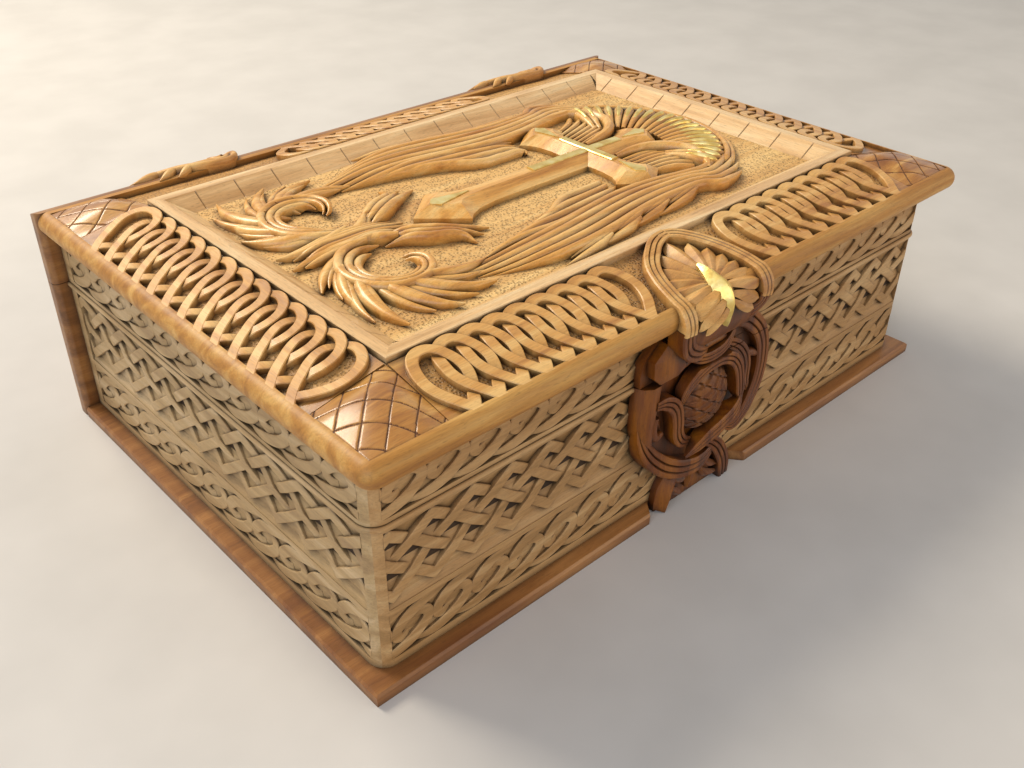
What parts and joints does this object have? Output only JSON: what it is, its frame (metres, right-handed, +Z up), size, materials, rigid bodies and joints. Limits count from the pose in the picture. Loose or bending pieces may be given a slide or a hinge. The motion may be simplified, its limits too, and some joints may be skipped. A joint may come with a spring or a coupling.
{
  "type": "carved bible box",
  "caption": "Book-shaped carved wooden casket with a hinged lid, a raised cross on the cover, knotwork borders and a carved clasp at the front.",
  "frame": {"origin": "middle of the whole width and depth, on the surface that the casket stands on", "axes": "+Z up, +X along the hinged spine to the right as seen from the clasp, +Y from the clasp to the spine"},
  "size_m": [0.3752, 0.2788, 0.1244],
  "materials": {
    "stained_wood": "carved, stained honey brown and French polished",
    "pale_wood": "carved, left pale and waxed",
    "inner_wood": "planed, thin oil",
    "gilding": "gold leaf, burnished",
    "brass": "drawn brass, lightly tarnished",
    "lining": "dark red baize"
  },
  "bodies": {
    "case": {"base_board": "stained_wood", "case_front_wall": "pale_wood", "case_left_wall": "pale_wood", "case_right_wall": "pale_wood", "case_back_wall": "inner_wood", "case_spine": "stained_wood", "case_rim_bead_front": "pale_wood", "case_rim_bead_left": "pale_wood", "case_rim_bead_right": "pale_wood", "case_floor": "inner_wood", "case_lining": "lining", "medallion_lower": "stained_wood", "lattice_boss": "stained_wood", "foot_leaves": "stained_wood", "left_hinge_case_leaf": "brass", "right_hinge_case_leaf": "brass", "left_hinge_pin": "brass", "right_hinge_pin": "brass", "case_hinge_screws": "brass"},
    "lid": {"back_border": "stained_wood", "back_frame_moulding": "stained_wood", "back_leaf_spray": "stained_wood", "back_left_corner_boss": "stained_wood", "back_right_corner_boss": "stained_wood", "back_scroll": "stained_wood", "clasp_arch": "stained_wood", "clasp_ground": "stained_wood", "cover_panel": "stained_wood", "cross": "stained_wood", "cross_gilding": "gilding", "front_frame_moulding": "stained_wood", "front_leaf_spray": "stained_wood", "front_left_border": "stained_wood", "front_left_corner_boss": "stained_wood", "front_right_border": "stained_wood", "front_right_corner_boss": "stained_wood", "front_scroll": "stained_wood", "gilt_bud": "gilding", "glory_fan": "stained_wood", "glory_gilding": "gilding", "left_border": "stained_wood", "left_frame_moulding": "stained_wood", "left_hinge_lid_leaf": "brass", "left_spine_ornament": "stained_wood", "lid_back_wall": "inner_wood", "lid_front_wall": "pale_wood", "lid_hinge_screws": "brass", "lid_left_wall": "pale_wood", "lid_lining": "lining", "lid_right_wall": "pale_wood", "lid_spine": "stained_wood", "medallion_upper": "stained_wood", "palmette": "stained_wood", "right_border": "stained_wood", "right_frame_moulding": "stained_wood", "right_hinge_lid_leaf": "brass", "right_spine_ornament": "stained_wood", "top_board": "stained_wood"}
  },
  "joints": [
    {"name": "lid_hinge", "type": "hinge", "parent": "case", "child": "lid", "pos_m": [0, 0.1374, 0.07635], "axis": [-1, 0, 0], "range_deg": [0, 95]}
  ]
}
